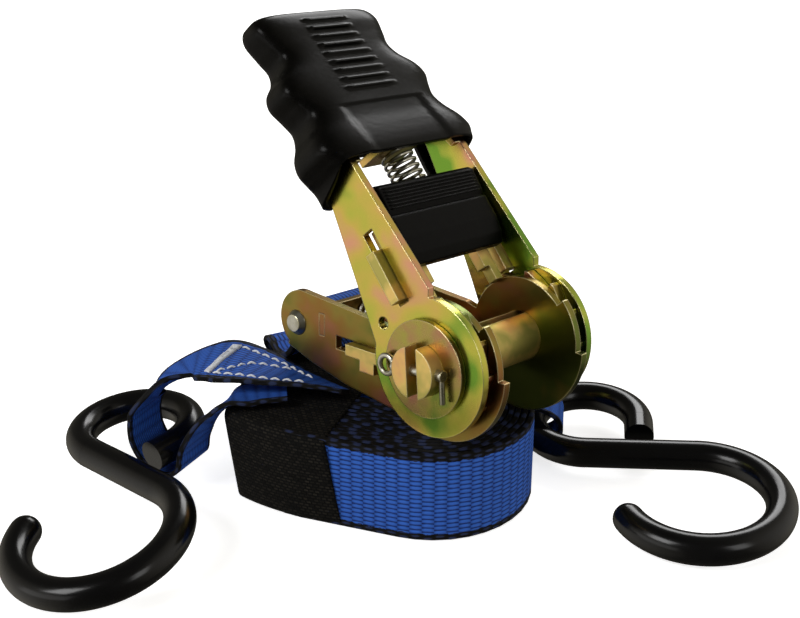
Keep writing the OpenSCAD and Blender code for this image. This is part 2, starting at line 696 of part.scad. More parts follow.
// The coating is closed over the open hook's tip and leaves the eye's cut end bare
module hook_vinyl(twist) {
    tip = [shank_len + throat_r * cos(tip_angle), throat_r * (sin(tip_angle) - 1), 0];
    difference() {
        union() {
            hook_line(hook_r, twist);
            translate(tip) rotate([90, 0, tip_angle]) rotate_extrude() {
                translate([0, -0.5]) square([hook_r - neck, 0.5]);
                intersection() { circle(hook_r - neck); square(hook_r); }
            }
        }
        hook_line(wire_d / 2, twist, 2);
    }
}
module left_hook_wire() { color("silver") at_left_hook() hook_line(wire_d / 2, left_eye_twist); }
module left_hook_vinyl() { color(black) at_left_hook() hook_vinyl(left_eye_twist); }
module right_hook_wire() { color("silver") at_right_hook() hook_line(wire_d / 2, right_eye_twist); }
module right_hook_vinyl() { color(black) at_right_hook() hook_vinyl(right_eye_twist); }

long_strap_coil();
long_strap_end();
coil_band();
near_base_plate();
far_base_plate();
anchor_rivet();
spring_bar();
short_strap();
base_pawl();
base_pawl_spring();
front_mandrel_half();
rear_mandrel_half();
near_ratchet_wheel();
far_ratchet_wheel();
near_washer();
far_washer();
near_cotter_pin();
far_cotter_pin();
handle_frame();
handle_grip();
handle_pawl();
release_pull();
handle_pawl_spring();
left_hook_wire();
left_hook_vinyl();
right_hook_wire();
right_hook_vinyl();
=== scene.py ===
import json
import math

import bmesh
import bpy
import numpy as np
from mathutils import Matrix, Vector


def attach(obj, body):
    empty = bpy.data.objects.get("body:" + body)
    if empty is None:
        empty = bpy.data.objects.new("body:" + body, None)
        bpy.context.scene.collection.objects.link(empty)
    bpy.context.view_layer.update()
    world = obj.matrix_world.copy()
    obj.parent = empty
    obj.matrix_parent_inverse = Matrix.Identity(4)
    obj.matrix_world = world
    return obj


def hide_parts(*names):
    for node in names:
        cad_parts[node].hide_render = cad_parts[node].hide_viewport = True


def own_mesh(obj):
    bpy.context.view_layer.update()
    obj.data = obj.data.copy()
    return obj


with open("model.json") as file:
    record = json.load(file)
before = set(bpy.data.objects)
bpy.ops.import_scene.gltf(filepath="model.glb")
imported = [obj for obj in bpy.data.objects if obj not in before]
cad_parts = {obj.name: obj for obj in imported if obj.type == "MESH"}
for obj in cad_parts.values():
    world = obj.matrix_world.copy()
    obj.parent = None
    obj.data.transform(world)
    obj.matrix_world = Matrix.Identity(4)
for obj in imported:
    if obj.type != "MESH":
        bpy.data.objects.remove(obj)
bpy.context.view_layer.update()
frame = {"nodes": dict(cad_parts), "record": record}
nodes = frame["nodes"]
mm = 0.001
print("frame loaded", len(nodes), "nodes")


def linearColour(hexText):
    parts = [int(hexText[i:i + 2], 16) / 255 for i in (1, 3, 5)]
    return [p / 12.92 if p <= 0.04045 else ((p + 0.055) / 1.055) ** 2.4 for p in parts] + [1.0]


def setInputs(material, node, inputs):
    for name, value in inputs.items():
        if isinstance(value, bpy.types.NodeSocket):
            material.node_tree.links.new(value, node.inputs[name])
        else:
            node.inputs[name].default_value = value


def addNode(material, kind, settings=None, inputs=None):
    node = material.node_tree.nodes.new(kind)
    for name, value in (settings or {}).items():
        if name != "stops":
            setattr(node, name, value)
            continue
        elements = node.color_ramp.elements  # stops are the places and colours of a ramp
        while len(elements) < len(value):
            elements.new(0.5)
        for element, (place, hexText) in zip(elements, value):
            element.position = place
            element.color = linearColour(hexText)
    setInputs(material, node, inputs or {})
    return node


def newMaterial(name, inputs):
    material = bpy.data.materials.new(name)
    material.use_nodes = True
    shader = material.node_tree.nodes["Principled BSDF"]
    setInputs(material, shader, inputs)
    return material, shader


# materials

webLook = {
    "width": 25.4, "edge": 2.0, "ragged": 1.6, "rounded": 0.5,  # mm; ragged is how far the black edge wanders
    "column": 3.1, "row": 1.3, "fuzz": 1.25, "relief": 0.3,  # mm, as the photograph shows the weave
    "blue": "#3062c2", "blueDeep": "#1e438e", "gap": "#081540",
    "black": "#0c0b0c", "blackFleck": "#232c4a", "blackGap": "#020203",
}


def webbingMaterial():
    # woven polyester: rows of dull blue floats between dark gaps, and black edges with a few blue flecks; the
    # crowns of the floats are painted lighter and their sides darker down to the gaps, as painted highlight and
    # shade
    material, shader = newMaterial("bluePolyesterWebbing", {"Roughness": 0.7, "Specular IOR Level": 0.2})
    uv = addNode(material, "ShaderNodeUVMap", {"uv_map": "web"}).outputs["UV"]  # across and along, in mm
    split = addNode(material, "ShaderNodeSeparateXYZ", inputs={"Vector": uv})
    fuzz = addNode(material, "ShaderNodeTexNoise",
                   inputs={"Scale": 1 / webLook["fuzz"], "Detail": 3.0, "Vector": uv})
    made = {"across": split.outputs["X"], "along": split.outputs["Y"], "fuzz": fuzz.outputs["Fac"]}
    half = webLook["width"] / 2
    sums = (
        ("fromMiddle", "SUBTRACT", "across", half),
        ("offCentre", "ABSOLUTE", "fromMiddle"),
        ("wandering", "MULTIPLY_ADD", "fuzz", webLook["ragged"], "offCentre"),
        ("edge", "GREATER_THAN", "wandering", half - webLook["edge"] + webLook["ragged"] / 2),
        ("column", "DIVIDE", "along", webLook["column"]),  # each column of floats is half a row from the next
        ("inColumn", "FRACT", "column"),
        ("wholeColumns", "FLOOR", "column"),
        ("odd", "MODULO", "wholeColumns", 2.0),
        ("row", "DIVIDE", "across", webLook["row"]),
        ("shiftedRow", "MULTIPLY_ADD", "odd", 0.5, "row"),
        ("inRow", "FRACT", "shiftedRow"),
        ("off", "MULTIPLY_ADD", "inRow", 2.0, -1.0),
        ("offSquared", "MULTIPLY", "off", "off"),
        ("crown", "SUBTRACT", 1.0, "offSquared"),
        ("halfWave", "MULTIPLY", "inColumn", math.pi),
        ("bow", "SINE", "halfWave"),
        ("swell", "MULTIPLY_ADD", "bow", 0.5, 0.5),
        ("height", "MULTIPLY", "crown", "swell"),  # lens-shaped floats
        ("worn", "MULTIPLY_ADD", "fuzz", 0.3, "height"),
    )
    for name, operation, *parts in sums:
        inputs = {k: made.get(part, part) for k, part in enumerate(parts)}
        made[name] = addNode(material, "ShaderNodeMath", {"operation": operation}, inputs).outputs[0]
    # painted highlight and shade on the weave: the colour follows the height of each float, brightest on its
    # crown and darkest in the gaps, plus a random tone from the fuzz
    blueStops = [(0.2, webLook["gap"]), (0.5, webLook["blueDeep"]), (1.0, webLook["blue"])]
    blackStops = [(0.3, webLook["blackGap"]), (0.8, webLook["black"]), (1.0, webLook["blackFleck"])]
    face = addNode(material, "ShaderNodeValToRGB", {"stops": blueStops}, {"Fac": made["worn"]})
    selvedge = addNode(material, "ShaderNodeValToRGB", {"stops": blackStops}, {"Fac": made["worn"]})
    mix = addNode(material, "ShaderNodeMix", {"data_type": "RGBA"},
                  {0: made["edge"], 6: face.outputs["Color"], 7: selvedge.outputs["Color"]})
    bump = addNode(material, "ShaderNodeBump",
                   inputs={"Strength": 0.6, "Distance": webLook["relief"] * mm, "Height": made["height"]})
    setInputs(material, shader, {"Base Color": mix.outputs[2], "Normal": bump.outputs["Normal"]})
    return material


knitLook = {
    "loop": 1.5, "row": 0.9, "gap": 0.26, "relief": 0.25,  # mm; real loops are half that, too fine to show
    "pale": "#26231e", "dark": "#090807", "between": "#030303",
}


def knitMaterial():
    # knitted elastic: flat black with a fine broken rib, and no shine
    material, shader = newMaterial("blackKnitBand", {"Roughness": 0.85, "Specular IOR Level": 0.15})
    uv = addNode(material, "ShaderNodeUVMap", {"uv_map": "web"})
    rows = addNode(material, "ShaderNodeTexBrick", {"offset": 0.5}, {
        "Scale": 1.0, "Brick Width": knitLook["loop"], "Row Height": knitLook["row"],
        "Mortar Size": knitLook["gap"], "Mortar Smooth": 0.5,
        "Color1": linearColour(knitLook["pale"]), "Color2": linearColour(knitLook["dark"]),
        "Mortar": linearColour(knitLook["between"]), "Vector": uv.outputs["UV"]})
    bump = addNode(material, "ShaderNodeBump", {"invert": True}, {
        "Strength": 0.8, "Distance": knitLook["relief"] * mm, "Height": rows.outputs["Fac"]})
    setInputs(material, shader, {"Base Color": rows.outputs["Color"], "Normal": bump.outputs["Normal"]})
    return material


plateLook = {
    "edge": 0.45, "edgeHighlightColour": "#f2e6b4", "edgeHighlightSpan": (0.8, 0.985),  # mm; painted highlight: the edges are coloured bright pale gold for the gleam along them
    "grain": 3.846, "grainDepth": 0.3, "grainDull": 0.08,  # mm; rolled steel's grain, drawn coarse to show
}


def plateMaterial(name, stops, roughness, patch, shift=0.0):
    material, shader = newMaterial(name, {"Metallic": 1.0})
    place = addNode(material, "ShaderNodeTexCoord").outputs["Object"]
    moved = addNode(material, "ShaderNodeMapping",
                    inputs={"Location": (shift, -shift, 0.6 * shift), "Vector": place})
    cloud = addNode(material, "ShaderNodeTexNoise", inputs={
        "Scale": 1 / (patch * mm), "Detail": 3.0, "Roughness": 0.55, "Vector": moved.outputs["Vector"]})
    colour = addNode(material, "ShaderNodeValToRGB", {"stops": stops}, {"Fac": cloud.outputs["Fac"]})
    rounded = addNode(material, "ShaderNodeBevel", {"samples": 6}, {"Radius": plateLook["edge"] * mm})
    surface = addNode(material, "ShaderNodeNewGeometry")
    match = addNode(material, "ShaderNodeVectorMath", {"operation": "DOT_PRODUCT"},
                    {0: rounded.outputs["Normal"], 1: surface.outputs["Normal"]})
    # painted highlight: where the rounded edge normal parts from the face's normal, a bright pale gold is mixed
    # into the colour, standing in for the gleam along the edges
    low, high = plateLook["edgeHighlightSpan"]
    edge = addNode(material, "ShaderNodeMapRange", inputs={
        "From Min": low, "From Max": high, "To Min": 1.0, "To Max": 0.0, "Value": match.outputs["Value"]})
    edgeHighlighted = addNode(material, "ShaderNodeMix", {"data_type": "RGBA"}, {
        0: edge.outputs["Result"], 6: colour.outputs["Color"], 7: linearColour(plateLook["edgeHighlightColour"])})
    grain = addNode(material, "ShaderNodeTexNoise",
                    inputs={"Scale": 1 / (plateLook["grain"] * mm), "Detail": 4.0, "Vector": place})
    dull = addNode(material, "ShaderNodeMath", {"operation": "MULTIPLY_ADD"}, {
        0: grain.outputs["Fac"], 1: plateLook["grainDull"], 2: roughness - plateLook["grainDull"] / 2})
    bump = addNode(material, "ShaderNodeBump", inputs={
        "Strength": 0.03, "Distance": plateLook["grainDepth"] * mm,
        "Height": grain.outputs["Fac"], "Normal": rounded.outputs["Normal"]})
    setInputs(material, shader, {"Base Color": edgeHighlighted.outputs[2], "Roughness": dull.outputs[0],
                                 "Normal": bump.outputs["Normal"]})
    return material


def mouldedMaterial(name, colours, roughness, shine, grain, strength, depth, edge=0.0):
    material, shader = newMaterial(name, {"Roughness": roughness, "Specular IOR Level": shine})
    place = addNode(material, "ShaderNodeTexCoord").outputs["Object"]
    cloud = addNode(material, "ShaderNodeTexNoise",
                    inputs={"Scale": 1 / (grain * mm), "Detail": 3.0, "Vector": place})
    tone = addNode(material, "ShaderNodeValToRGB", {"stops": [(0.3, colours[0]), (0.7, colours[1])]},
                   {"Fac": cloud.outputs["Fac"]})
    bump = addNode(material, "ShaderNodeBump",
                   inputs={"Strength": strength, "Distance": depth * mm, "Height": cloud.outputs["Fac"]})
    if edge:
        rounded = addNode(material, "ShaderNodeBevel", {"samples": 6}, {"Radius": edge * mm})
        setInputs(material, bump, {"Normal": rounded.outputs["Normal"]})
    setInputs(material, shader, {"Base Color": tone.outputs["Color"], "Normal": bump.outputs["Normal"]})
    return material


looks = {
    "webbing": webbingMaterial(),
    "knit": knitMaterial(),
    # yellow chromate on zinc: satin metal, clouded from green through gold to rose
    "yellowZinc": plateMaterial(
        "yellowChromateZinc", roughness=0.25, patch=30,  # mm, as the clouds are in the photograph
        stops=[(0.40, "#6c9434"), (0.47, "#b0ae48"), (0.54, "#c2aa54"), (0.61, "#d0927c")]),
    # the same from a tired bath: darker, brown and a little duller
    "brownZinc": plateMaterial(
        "browningChromateZinc", roughness=0.3, patch=22, shift=0.23,
        stops=[(0.38, "#5e682c"), (0.48, "#827236"), (0.57, "#866432"), (0.68, "#965e4c")]),
    # the same on stamped washers: small olive and rosy clouds
    "washerZinc": plateMaterial(
        "rosyChromateZinc", roughness=0.27, patch=14, shift=0.37,
        stops=[(0.38, "#6a8438"), (0.47, "#9a9446"), (0.55, "#9e8a50"), (0.66, "#a4705c")]),
    # the same on turned pins and pawls: pale gold with a wide soft gleam
    "goldZinc": plateMaterial(
        "goldChromateZinc", roughness=0.5, patch=12, shift=0.61,
        stops=[(0.36, "#b0a65c"), (0.48, "#dcc074"), (0.58, "#e2b876"), (0.68, "#d0a07c")]),
    # clear zinc on wire and rivets: grey metal with sharp small gleams
    "brightZinc": plateMaterial(
        "brightZinc", roughness=0.28, patch=6, stops=[(0.35, "#8e8b78"), (0.65, "#bdbbb0")]),
    # dipped vinyl: deep black with long wet gleams that waver where the dip ran
    "vinyl": mouldedMaterial(
        "dippedBlackVinyl", ("#050506", "#09090a"), roughness=0.2, shine=0.27,
        grain=11.11, strength=0.12, depth=0.6),  # mm, length of the waves in the dip
    # moulded rubber: black with a soft sheen on the ridges
    "rubber": mouldedMaterial(
        "mouldedBlackRubber", ("#050504", "#090807"), roughness=0.25, shine=0.07,
        grain=1.4286, strength=0.14, depth=0.2),  # mm; real mould grain is about 0.1, too fine to show
    # moulded plastic: dull black with rounded edges
    "plastic": mouldedMaterial(
        "mouldedBlackPlastic", ("#030303", "#060605"), roughness=0.4, shine=0.06,
        grain=2.0, strength=0.10, depth=0.2, edge=0.9),  # mm; the grain is drawn coarse to show
    # spun polyester thread: white, slightly glossy, with a twist
    "thread": mouldedMaterial(
        "whitePolyesterThread", ("#cfd3da", "#f1f3f5"), roughness=0.7, shine=0.3,
        grain=0.3333, strength=0.3, depth=0.2),  # mm, the twist
}
slotLooks = {
    "blue_webbing": "webbing", "black_knit": "knit", "yellow_zinc": "yellowZinc",
    "bright_zinc": "brightZinc", "black_vinyl": "vinyl", "black_rubber": "rubber", "black_plastic": "plastic",
}
print("materials made")


# CAD nodes that show as they are

nodeLooks = {part["node"]: slotLooks[part["material_slot"]] for part in frame["record"]["subparts"]}
ownLooks = {
    "brownZinc": ("near_base_plate", "far_base_plate", "spring_bar", "near_ratchet_wheel", "far_ratchet_wheel"),
    "washerZinc": ("near_washer", "far_washer"),
    "goldZinc": ("front_mandrel_half", "rear_mandrel_half", "handle_pawl", "base_pawl"),
    "vinyl": ("left_hook_wire", "right_hook_wire"),  # the dip covers the cut ends too
}  # plated pieces come out of the bath in their own tones
for look, names in ownLooks.items():
    nodeLooks.update({name: look for name in names})
for name, look in nodeLooks.items():
    nodes[name].data.materials.clear()
    nodes[name].data.materials.append(looks[look])


def pieceFrom(bm, name, material, sharp=None):
    mesh = bpy.data.meshes.new(name)
    bm.to_mesh(mesh)
    bm.free()
    if sharp:
        mesh.set_sharp_from_angle(angle=math.radians(sharp))
    mesh.materials.append(material)
    piece = bpy.data.objects.new(name, mesh)
    bpy.context.scene.collection.objects.link(piece)
    return piece


# strips of webbing

def turnedBy(v, angles):
    for angle, axis in zip(angles, "XYZ"):
        v = Matrix.Rotation(math.radians(angle), 3, axis) @ Vector(v)
    return v


def unitOf(v):
    return v / np.linalg.norm(v)


def walkedAlong(places):
    return np.concatenate([[0], np.cumsum(np.linalg.norm(np.diff(places, axis=0), axis=1))])


def smoothRun(points, steps):
    q = np.array(points, float)
    n = len(q) - 1
    run = []
    for i in range(n):
        a, b, c, d = q[max(i - 1, 0)], q[i], q[i + 1], q[min(i + 2, n)]
        for j in range(steps):
            u = j / steps
            run.append(0.5 * (2 * b + u * (c - a) + u * u * (2 * a - 5 * b + 4 * c - d)
                              + u ** 3 * (3 * b - a - 3 * c + d)))
    run.append(q[n])
    return np.array(run)


def stripRings(places, acrosses):
    n = len(places)
    frames = []
    for i in range(n):
        along = unitOf(places[min(i + 1, n - 1)] - places[max(i - 1, 0)])
        across = unitOf(acrosses[i] - along * (acrosses[i] @ along))
        frames.append((across, np.cross(along, across)))
    return frames


def stripPiece(name, places, acrosses, widths, columns):
    walked = walkedAlong(places)
    inner = np.linspace(-0.5, 0.5, columns)
    half = webThick / 2
    bm = bmesh.new()
    uvLayer = bm.loops.layers.uv.new("web")
    rings = []
    for place, (across, up), width, v in zip(places, stripRings(places, acrosses), widths, walked):
        flat = width - webLook["rounded"]
        ring = [(-width / 2, 0.0)] + [(a * flat, half) for a in inner]
        ring += [(width / 2, 0.0)] + [(a * flat, -half) for a in inner[::-1]]
        row = []
        for a, h in ring:
            vertex = bm.verts.new(Vector((place + across * a + up * h) * mm))
            row.append((vertex, webLook["width"] * (0.5 + a / width), v))
        rings.append(row)
    size = len(rings[0])
    for one, two in zip(rings, rings[1:]):
        for k in range(size):
            corners = [one[k], one[(k + 1) % size], two[(k + 1) % size], two[k]]
            face = bm.faces.new([c[0] for c in corners])
            face.smooth = True
            for loop, c in zip(face.loops, corners):
                loop[uvLayer].uv = (c[1], c[2])
    for ring in (rings[0][::-1], rings[-1]):
        cap = bm.faces.new([c[0] for c in ring])
        for loop in cap.loops:
            loop[uvLayer].uv = (0.0, 0.0)
    bmesh.ops.recalc_face_normals(bm, faces=bm.faces[:])
    return pieceFrom(bm, name, looks["webbing"], sharp=60), walked[-1]


webThick = 1.3
coil = {
    "centre": (8.5, 0.0), "half": 13.3, "core": 2.3, "pitch": 1.78, "height": 25.4,  # mm
    "turns": 14, "steps": 18, "bend": 11 / 24, "columns": 5,  # bend is the part of a turn that each end takes
    "drop": 0.28, "wave": 0.22, "ripple": 0.1,  # mm, how uneven the edges lie
    "waves": 1.9 * math.pi, "ripples": 7.3,  # radians in a turn
}


def makeCoil():
    places, widths = [], []
    for turn in range(coil["turns"]):
        for end in (0, 1):
            for j in range(coil["steps"] + 1):
                s = j / coil["steps"]
                progress = turn + end / 2 + coil["bend"] * s
                a = math.radians((90 if end == 0 else -90) + 180 * s)
                r = coil["core"] + coil["pitch"] * progress
                x = coil["centre"][0] + (-coil["half"] if end == 0 else coil["half"]) + r * math.cos(a)
                y = coil["centre"][1] + r * math.sin(a)
                drop = coil["drop"] + coil["wave"] * math.sin(coil["waves"] * progress + turn)
                drop += coil["ripple"] * math.sin(coil["ripples"] * progress)
                height = coil["height"] - max(0.0, drop)
                places.append((x, y, height / 2))
                widths.append(height)
    acrosses = np.tile((0.0, 0.0, 1.0), (len(places), 1))
    return stripPiece("webbingCoil", np.array(places), acrosses, widths, coil["columns"])


coilPiece, coilLength = makeCoil()
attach(coilPiece, "strap")
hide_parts("long_strap_coil")
print("coil of webbing", round(coilLength), "mm long")

# places in mm and turns in degrees, as in the part's source
leftHook = {"at": (-62.9, -32.26, 11.05), "turn": (11.45, -3.18, -23.28), "eye": 14.9,
            "eyeTwist": -8, "loop": 12}  # loop is where on the eye the strap sits
rightHook = {"at": (59.71, 20.6, 5.98), "turn": (3.37, -2.37, 12.44), "eye": 14.9}
buckle = {"at": (37.77, -6.27, 47.1166), "turn": (-6.15, -4.67, -23.61), "handle": 50.5,
          "bolt": (-51.5, 0, -1.5)}


def onBuckle(p):
    return np.array(turnedBy(p, buckle["turn"])) + buckle["at"]


def onHandle(h, y, f):
    a = math.radians(buckle["handle"])
    return onBuckle((-h * math.cos(a) + f * math.sin(a), y, h * math.sin(a) + f * math.cos(a)))


handleStart = onHandle(0, 0, 0)
handleAxes = np.array([onHandle(*axis) - handleStart for axis in ((1, 0, 0), (0, 1, 0), (0, 0, 1))])


def offHandle(place):
    return handleAxes @ (np.array(place) / mm - handleStart)


def leftLoop():
    a = math.radians(leftHook["loop"])
    eye = leftHook["eye"]

    def onEye(p):
        return np.array(turnedBy(turnedBy(p, (leftHook["eyeTwist"], 0, 0)), leftHook["turn"]))

    middle = onEye((eye * math.cos(a), eye * (1 + math.sin(a)), 0)) + leftHook["at"]
    across = onEye((-math.sin(a), math.cos(a), 0))
    left = -unitOf(np.cross(across, (0, 0, 1)))

    def byLeg(out, rise, width):
        return [*(middle + out * left + np.array((0, 0, rise))), *across, width]

    return byLeg


byLeg = leftLoop()
longEndRoute = [
    [0.3, -6.9, 28.2, -0.48, 0.8, -0.37, 7],
    [-8.2, -6.6, 29, -0.11, 0.93, -0.34, 13],
    [-18.7, -6.1, 29.7, 0.02, 0.98, -0.21, 20],
    [-28.7, -5.8, 30.7, 0.06, 0.99, -0.12, 25.4],
    [-37.6, -6.9, 31, 0.04, 1, -0.02, 25.4],
    [-45.3, -10.5, 28.4, -0.08, 1, 0.01, 20],
    byLeg(7.5, 12, 15), byLeg(11, 6.4, 13.5), byLeg(11, -0.6, 13.5), byLeg(7, -6, 13.5),
    byLeg(0.5, -7.2, 13.5), byLeg(-4, -4.6, 13.5), byLeg(-5.3, 0.4, 13.5), byLeg(-7.8, 5.6, 13.5),
    [-31.8, -20.4, 22.8, 0.15, 0.98, 0.02, 13.5],
    [-27.4, -17.2, 26.4, 0.2, 0.97, 0, 14],
    [-21.5, -13.6, 27.2, 0.2, 0.97, -0.08, 14],
    [-15, -10.5, 27.4, 0.15, 0.97, -0.15, 14],
]  # place, width direction and width, mm
strap = {"steps": 9, "columns": 9}  # steps from one place to the next


def makeStrap(name, route, body, node):
    run = smoothRun(route, strap["steps"])
    piece, length = stripPiece(name, run[:, :3], run[:, 3:6], run[:, 6], strap["columns"])
    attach(piece, body)
    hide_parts(node)
    print(name, round(length), "mm long")
    return run


longEndRun = makeStrap("sewnStrapEnd", longEndRoute, "strap", "long_strap_end")


# white stitching: places along the route and across the strap, from the photograph

stitch = {
    "bar": [(4.0, -0.375), (3.89, -0.225), (3.78, -0.025), (3.67, 0.15), (3.6, 0.34)],
    "far": [(3.5, 0.33), (2.78, 0.3), (2.0, 0.3), (1.11, 0.15)],
    "near": [(3.8, -0.36), (3.1, -0.37), (2.56, -0.375), (1.67, -0.39), (1.0, -0.36)],
    "middle": [(3.67, -0.325), (3.22, -0.175), (2.89, 0.0), (2.22, 0.14), (1.67, 0.28)],
    "pitch": 3.2, "first": 0.3, "sink": 0.2, "radius": 0.3, "barRadius": 0.345, "barLift": 0.25,  # mm
    "long": 0.72, "rise": 1.1, "zigzag": 0.09,  # shares of the pitch, the radius and a step of the route
    "marks": 24, "barMarks": 12,
}
tube = {"sides": 8, "points": 9, "lean": (0.3, 0.2, 1.0)}  # lean sets where a tube's rings start


def onStrap(place, share, lift):
    k = place * strap["steps"]
    i = min(int(k), len(longEndRun) - 2)
    spot = longEndRun[i] + (longEndRun[i + 1] - longEndRun[i]) * (k - i)
    along = unitOf(longEndRun[i + 1][:3] - longEndRun[i][:3])
    across = unitOf(spot[3:6] - along * (spot[3:6] @ along))
    up = np.cross(along, across)
    up = up if up[2] > 0 else -up
    return spot[:3] + across * share * spot[6] + up * (webThick / 2 + lift)


def threadTube(bm, line, radius):
    sides = tube["sides"]
    angles = [2 * math.pi * k / sides for k in range(sides)]
    rings = []
    for i, p in enumerate(line):
        along = unitOf(line[min(i + 1, len(line) - 1)] - line[max(i - 1, 0)])
        side = unitOf(np.cross(along, tube["lean"]))
        up = np.cross(side, along)
        spots = [p + radius * (side * math.cos(t) + up * math.sin(t)) for t in angles]
        rings.append([bm.verts.new(Vector(spot) * mm) for spot in spots])
    for one, two in zip(rings, rings[1:]):
        for k in range(sides):
            j = (k + 1) % sides
            bm.faces.new([one[k], one[j], two[j], two[k]]).smooth = True
    bm.faces.new(rings[0][::-1])
    bm.faces.new(rings[-1])


def denseMarks(row, count):
    marks = np.array(stitch[row])
    parts = [np.linspace(a, b, count, endpoint=False) for a, b in zip(marks, marks[1:])]
    return np.concatenate(parts + [marks[-1:]])


def makeStitches():
    bm = bmesh.new()
    radius, long = stitch["radius"], stitch["pitch"] * stitch["long"]
    for row in ("far", "near", "middle"):
        dense = denseMarks(row, stitch["marks"])
        walked = walkedAlong(np.array([onStrap(p, s, 0.0) for p, s in dense]))
        start = stitch["first"]
        while start + long < walked[-1]:
            line = []
            for t in np.linspace(0, 1, tube["points"]):
                p, s = (np.interp(start + t * long, walked, dense[:, c]) for c in (0, 1))
                arch = math.sin(math.pi * t)
                line.append(onStrap(p, s, radius * stitch["rise"] * arch - stitch["sink"] * (1 - arch)))
            threadTube(bm, np.array(line), radius)
            start += stitch["pitch"]
    line = []
    for k, (p, s) in enumerate(denseMarks("bar", stitch["barMarks"])):
        sway = stitch["zigzag"] if k % 2 else -stitch["zigzag"]
        line.append(onStrap(p + sway, s, stitch["barLift"]))
    threadTube(bm, np.array(line), stitch["barRadius"])
    return pieceFrom(bm, "strapStitches", looks["thread"])


stitches = makeStitches()
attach(stitches, "strap")
print("stitches made")


def rightLoop():
    eye = rightHook["eye"]
    middle = np.array(turnedBy((-eye, eye, 0), rightHook["turn"])) + rightHook["at"]
    across = np.array(turnedBy((0, 1, 0), rightHook["turn"]))
    out = np.array(turnedBy((-1, 0, 0), rightHook["turn"]))
    return lambda away, rise, width: [*(middle + away * out + np.array((0, 0, rise))), *(-across), width]


byEye = rightLoop()
rivetWrap = {"radius": 3.95, "angles": range(-10, 181, 38)}  # mm and degrees, webbing round the rivet


def byRivet(x, z):
    bolt = buckle["bolt"]
    return [*onBuckle((bolt[0] + x, 0, bolt[2] + z)), *turnedBy((0, 1, 0), buckle["turn"]), 25.4]


def roundRivet(angle):
    a = math.radians(angle)
    return byRivet(rivetWrap["radius"] * math.cos(a), rivetWrap["radius"] * math.sin(a))


shortRoute = [
    byRivet(8, -7.4), byRivet(4.5, -4.2), *[roundRivet(angle) for angle in rivetWrap["angles"]],
    [-14.2, 16.4, 35, 0.42, 0.9, -0.08, 25.4],
    [-15.6, 17, 30.6, 0.43, 0.9, -0.05, 25.4],
    [-19, 19, 27.6, 0.45, 0.89, 0, 25.4],
    [-25.8, 25.5, 28.2, 0.43, 0.88, 0.06, 25.4],
    [-30.4, 29.8, 21, 0.25, 0.6, 0.75, 25.4],
    [-31, 35.5, 16, 0.05, 0.25, 0.97, 25.4],
    [-26, 41.5, 14, 0, 0.05, 1, 25.4],
    [-14, 43.5, 13.6, 0, 0, 1, 25.4],
    [2, 42, 13.5, 0, 0, 1, 25.4],
    [15, 39, 12.8, 0.05, -0.45, 0.85, 23],
    [25, 37.4, 12.2, 0.1, -0.9, 0.35, 15.5],
    byEye(6, 7, 11.5), byEye(0, 8, 12.5), byEye(-6.4, 5, 12.5), byEye(-8, 0.6, 12.5),
    byEye(-5.6, -4, 12.5), byEye(1, -5.2, 12.5), byEye(7, -3.4, 11),
]  # place, width direction and width, mm
makeStrap("shortStrap", shortRoute, "ratchet", "short_strap")


# knit band round the coil

band = {
    "width": 30.0, "thick": 1.0, "lean": -10.0, "shift": -19.2, "corner": 2.6,  # mm, and degrees of lean
    "middle": -11.5, "bow": 57.0, "front": 28.08,  # mm, the curve of the coil's face under it
    "columns": 24, "rise": 14, "bend": 6, "flat": 24,  # steps
}


def bandLoop(top):
    corner = band["corner"]
    heights = [corner + (top - 2 * corner) * j / band["rise"] for j in range(band["rise"] + 1)]
    bend = [math.radians(90 * j / band["bend"]) for j in range(1, band["bend"] + 1)]
    wall = [(corner * (1 - math.cos(t)), corner - corner * math.sin(t)) for t in bend[::-1]]
    wall += [(0.0, z) for z in heights]
    wall += [(corner * (1 - math.cos(t)), top - corner + corner * math.sin(t)) for t in bend]
    loop = []  # side of the coil, distance in from the face, and height
    for side in (-1, 1):
        loop += [(side, inset, z) for inset, z in (wall if side < 0 else wall[::-1])]
        level = top if side < 0 else 0.0
        loop += [(side * (1 - 2 * j / band["flat"]), None, level) for j in range(1, band["flat"])]
    return loop


def makeBand():
    slope = math.tan(math.radians(band["lean"]))
    wide = band["width"] / math.cos(math.radians(band["lean"]))
    top, corner, columns = coil["height"], band["corner"], band["columns"]
    loop = bandLoop(top)
    bm = bmesh.new()
    uvLayer = bm.loops.layers.uv.new("web")
    rows = []
    for k in range(columns + 1):
        w = (k / columns - 0.5) * wide
        row = []
        for share, inset, z in loop:
            x = coil["centre"][0] + band["shift"] + w + (z - top / 2) * slope
            offset = x - coil["centre"][0] - band["middle"]
            depth = math.sqrt(band["bow"] ** 2 - offset ** 2) - (band["bow"] - band["front"])
            y = share * (depth - (corner if inset is None else inset))
            row.append(bm.verts.new(Vector((x, y, z)) * mm))
        rows.append(row)
    size = len(loop)
    around = [0.0]
    for j in range(size):
        around.append(around[-1] + (rows[0][(j + 1) % size].co - rows[0][j].co).length / mm)
    u = band["width"] / columns
    for k in range(columns):
        one, two = rows[k], rows[k + 1]
        for j in range(size):
            after = (j + 1) % size
            face = bm.faces.new([one[j], two[j], two[after], one[after]])
            face.smooth = True
            near, far = around[j], around[j + 1]
            spots = [(k * u, near), ((k + 1) * u, near), ((k + 1) * u, far), (k * u, far)]
            for faceCorner, spot in zip(face.loops, spots):
                faceCorner[uvLayer].uv = spot
    bmesh.ops.recalc_face_normals(bm, faces=bm.faces[:])
    piece = pieceFrom(bm, "knitBand", looks["knit"])
    shell = piece.modifiers.new("cloth", "SOLIDIFY")
    shell.thickness = band["thick"] * mm
    shell.offset = -1.0
    return piece, around[-1]


bandPiece, bandLength = makeBand()
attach(bandPiece, "strap")
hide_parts("coil_band")
print("knit band", round(bandLength), "mm round")


# rubber grip, with the ribs and the step of the moulding

